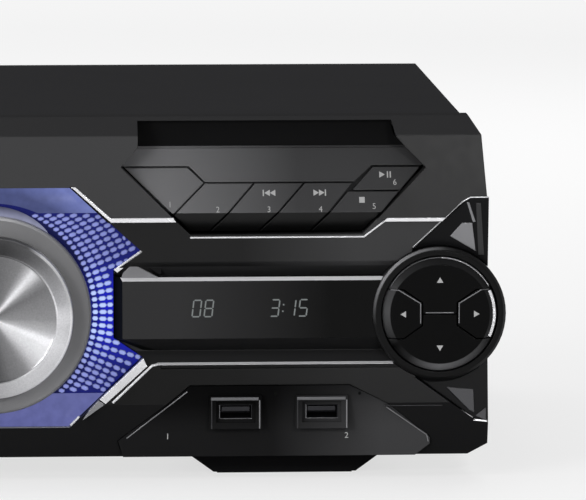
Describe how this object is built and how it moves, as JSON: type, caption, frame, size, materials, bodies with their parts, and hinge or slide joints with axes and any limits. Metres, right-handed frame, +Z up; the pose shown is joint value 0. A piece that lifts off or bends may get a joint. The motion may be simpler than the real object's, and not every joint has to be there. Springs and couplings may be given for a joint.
{
  "type": "mini hi-fi console",
  "caption": "Wide low disc-player console with a turning centre dial, hexagonal lens, window bars, sloping sampler keys, round key pads, socket bays and disc drawer.",
  "frame": {"origin": "under the middle of the console's box, on the surface it stands on", "axes": "+X right seen from the front, -Y front, +Z up"},
  "size_m": [0.41, 0.28, 0.1455],
  "materials": {
    "dark_moulding": "satin",
    "gloss_black": "gloss",
    "chrome": "polished",
    "blue_lens": "gloss",
    "skirt_grey": "gloss",
    "spun_aluminium": "brushed",
    "steel": "satin",
    "painted_sheet": "satin",
    "bare_sheet": "satin",
    "black_plastic": "matt",
    "white_plastic": "satin",
    "bridge_steel": "satin",
    "rubber": "matt",
    "board": "satin",
    "display_glass": "gloss",
    "heat_sink": "satin"
  },
  "bodies": {
    "console": {"front_panel": "dark_moulding", "chrome_trims": "chrome", "dial_lens": "blue_lens", "front_windows": "gloss_black", "display_tube": "display_glass", "front_board": "board", "front_controls": "black_plastic", "sampler_deck": "dark_moulding", "pad_bases": "gloss_black", "pad_rings": "chrome", "wing_inserts": "dark_moulding", "usb_bay": "dark_moulding", "usb_sockets": "steel", "mic_bay": "dark_moulding", "mic_jacks": "steel", "top_cover": "painted_sheet", "bottom_chassis": "bare_sheet", "rear_panel": "painted_sheet", "feet": "black_plastic", "foot_pads": "rubber", "cover_screws": "painted_sheet", "rear_sockets": "black_plastic", "loader_frame": "black_plastic", "clamp_bridge": "bridge_steel", "loading_motor": "steel", "circuit_boards": "board", "transformer": "steel", "heat_sink": "heat_sink", "standoffs": "steel", "fan_frame": "black_plastic"},
    "dial": {"dial_skirt": "skirt_grey", "dial_cap": "spun_aluminium", "dial_shaft": "steel"},
    "mic_level": {"mic_level_knob": "dark_moulding"},
    "sampler_key_1": {"sampler_key_1": "dark_moulding"},
    "sampler_key_2": {"sampler_key_2": "dark_moulding"},
    "sampler_key_3": {"sampler_key_3": "dark_moulding"},
    "sampler_key_4": {"sampler_key_4": "dark_moulding"},
    "sampler_key_5": {"sampler_key_5": "dark_moulding"},
    "sampler_key_6": {"sampler_key_6": "dark_moulding"},
    "right_pad_upper_key": {"right_pad_upper_key": "gloss_black"},
    "right_pad_lower_key": {"right_pad_lower_key": "gloss_black"},
    "right_pad_outer_key": {"right_pad_outer_key": "gloss_black"},
    "right_pad_inner_key": {"right_pad_inner_key": "gloss_black"},
    "left_pad_upper_key": {"left_pad_upper_key": "gloss_black"},
    "left_pad_lower_key": {"left_pad_lower_key": "gloss_black"},
    "left_pad_outer_key": {"left_pad_outer_key": "gloss_black"},
    "left_pad_inner_key": {"left_pad_inner_key": "gloss_black"},
    "drawer": {"disc_tray": "black_plastic", "tray_front": "dark_moulding"},
    "loading_gear": {"loading_gear": "white_plastic"},
    "motor_pinion": {"motor_pinion": "white_plastic"},
    "traverse": {"traverse_deck": "black_plastic", "guide_rods": "steel", "spindle_motor": "steel"},
    "turntable": {"turntable": "black_plastic"},
    "clamp_puck": {"clamp_puck": "white_plastic"},
    "pickup_sled": {"pickup_sled": "black_plastic"},
    "lead_screw": {"lead_screw": "steel"},
    "fan_rotor": {"fan_rotor": "black_plastic"}
  },
  "joints": [
    {"name": "dial_turn", "type": "hinge", "parent": "console", "child": "dial", "pos_m": [0, -0.128, 0.0672], "axis": [0, -1, 0], "continuous": true},
    {"name": "mic_level_turn", "type": "hinge", "parent": "console", "child": "mic_level", "pos_m": [-0.139, -0.13, 0.0265], "axis": [0, -1, 0], "range_deg": [-150, 150]},
    {"name": "sampler_key_1_press", "type": "slide", "parent": "console", "child": "sampler_key_1", "axis": [0, 1, 0], "range_m": [0, 0.001], "stiffness_N_per_m": 600, "springref_m": -0.0005},
    {"name": "sampler_key_2_press", "type": "slide", "parent": "console", "child": "sampler_key_2", "axis": [0, 1, 0], "range_m": [0, 0.001], "stiffness_N_per_m": 600, "springref_m": -0.0005},
    {"name": "sampler_key_3_press", "type": "slide", "parent": "console", "child": "sampler_key_3", "axis": [0, 1, 0], "range_m": [0, 0.001], "stiffness_N_per_m": 600, "springref_m": -0.0005},
    {"name": "sampler_key_4_press", "type": "slide", "parent": "console", "child": "sampler_key_4", "axis": [0, 1, 0], "range_m": [0, 0.001], "stiffness_N_per_m": 600, "springref_m": -0.0005},
    {"name": "sampler_key_5_press", "type": "slide", "parent": "console", "child": "sampler_key_5", "axis": [0, 1, 0], "range_m": [0, 0.001], "stiffness_N_per_m": 600, "springref_m": -0.0005},
    {"name": "sampler_key_6_press", "type": "slide", "parent": "console", "child": "sampler_key_6", "axis": [0, 1, 0], "range_m": [0, 0.001], "stiffness_N_per_m": 600, "springref_m": -0.0005},
    {"name": "right_pad_upper_key_press", "type": "slide", "parent": "console", "child": "right_pad_upper_key", "axis": [0, 1, 0], "range_m": [0, 0.001], "stiffness_N_per_m": 600, "springref_m": -0.0005},
    {"name": "right_pad_lower_key_press", "type": "slide", "parent": "console", "child": "right_pad_lower_key", "axis": [0, 1, 0], "range_m": [0, 0.001], "stiffness_N_per_m": 600, "springref_m": -0.0005},
    {"name": "right_pad_outer_key_press", "type": "slide", "parent": "console", "child": "right_pad_outer_key", "axis": [0, 1, 0], "range_m": [0, 0.001], "stiffness_N_per_m": 600, "springref_m": -0.0005},
    {"name": "right_pad_inner_key_press", "type": "slide", "parent": "console", "child": "right_pad_inner_key", "axis": [0, 1, 0], "range_m": [0, 0.001], "stiffness_N_per_m": 600, "springref_m": -0.0005},
    {"name": "left_pad_upper_key_press", "type": "slide", "parent": "console", "child": "left_pad_upper_key", "axis": [0, 1, 0], "range_m": [0, 0.001], "stiffness_N_per_m": 600, "springref_m": -0.0005},
    {"name": "left_pad_lower_key_press", "type": "slide", "parent": "console", "child": "left_pad_lower_key", "axis": [0, 1, 0], "range_m": [0, 0.001], "stiffness_N_per_m": 600, "springref_m": -0.0005},
    {"name": "left_pad_outer_key_press", "type": "slide", "parent": "console", "child": "left_pad_outer_key", "axis": [0, 1, 0], "range_m": [0, 0.001], "stiffness_N_per_m": 600, "springref_m": -0.0005},
    {"name": "left_pad_inner_key_press", "type": "slide", "parent": "console", "child": "left_pad_inner_key", "axis": [0, 1, 0], "range_m": [0, 0.001], "stiffness_N_per_m": 600, "springref_m": -0.0005},
    {"name": "drawer_slide", "type": "slide", "parent": "console", "child": "drawer", "axis": [0, -1, 0], "range_m": [0, 0.135]},
    {"name": "loading_gear_turn", "type": "hinge", "parent": "console", "child": "loading_gear", "pos_m": [-0.0655, -0.104, 0.1145], "axis": [0, 0, 1], "range_deg": [0, 1410]},
    {"name": "motor_pinion_turn", "type": "hinge", "parent": "console", "child": "motor_pinion", "pos_m": [-0.0655, -0.0952, 0.1145], "axis": [0, 0, 1], "range_deg": [-2590, 0]},
    {"name": "traverse_tilt", "type": "hinge", "parent": "console", "child": "traverse", "pos_m": [-0.119, 0.026, 0.10975], "axis": [1, 0, 0], "range_deg": [0, 5]},
    {"name": "turntable_spin", "type": "hinge", "parent": "traverse", "child": "turntable", "pos_m": [-0.119, -0.054, 0.118], "axis": [0, 0, 1], "continuous": true},
    {"name": "clamp_puck_spin", "type": "hinge", "parent": "console", "child": "clamp_puck", "pos_m": [-0.119, -0.054, 0.128], "axis": [0, 0, 1], "continuous": true},
    {"name": "sled_slide", "type": "slide", "parent": "traverse", "child": "pickup_sled", "axis": [0, 1, 0], "range_m": [0, 0.03]},
    {"name": "lead_screw_turn", "type": "hinge", "parent": "traverse", "child": "lead_screw", "pos_m": [-0.119, 0, 0.1045], "axis": [0, 1, 0], "range_deg": [0, 3610]},
    {"name": "fan_spin", "type": "hinge", "parent": "console", "child": "fan_rotor", "pos_m": [0.082, 0.12, 0.084], "axis": [0, 1, 0], "continuous": true}
  ],
  "couplings": [
    {"joint": "loading_gear_turn", "follows": "drawer_slide", "rad_per_m": 181.82},
    {"joint": "motor_pinion_turn", "follows": "drawer_slide", "rad_per_m": -333.33},
    {"joint": "clamp_puck_spin", "follows": "turntable_spin", "ratio": 1},
    {"joint": "lead_screw_turn", "follows": "sled_slide", "rad_per_m": 2094.4}
  ]
}
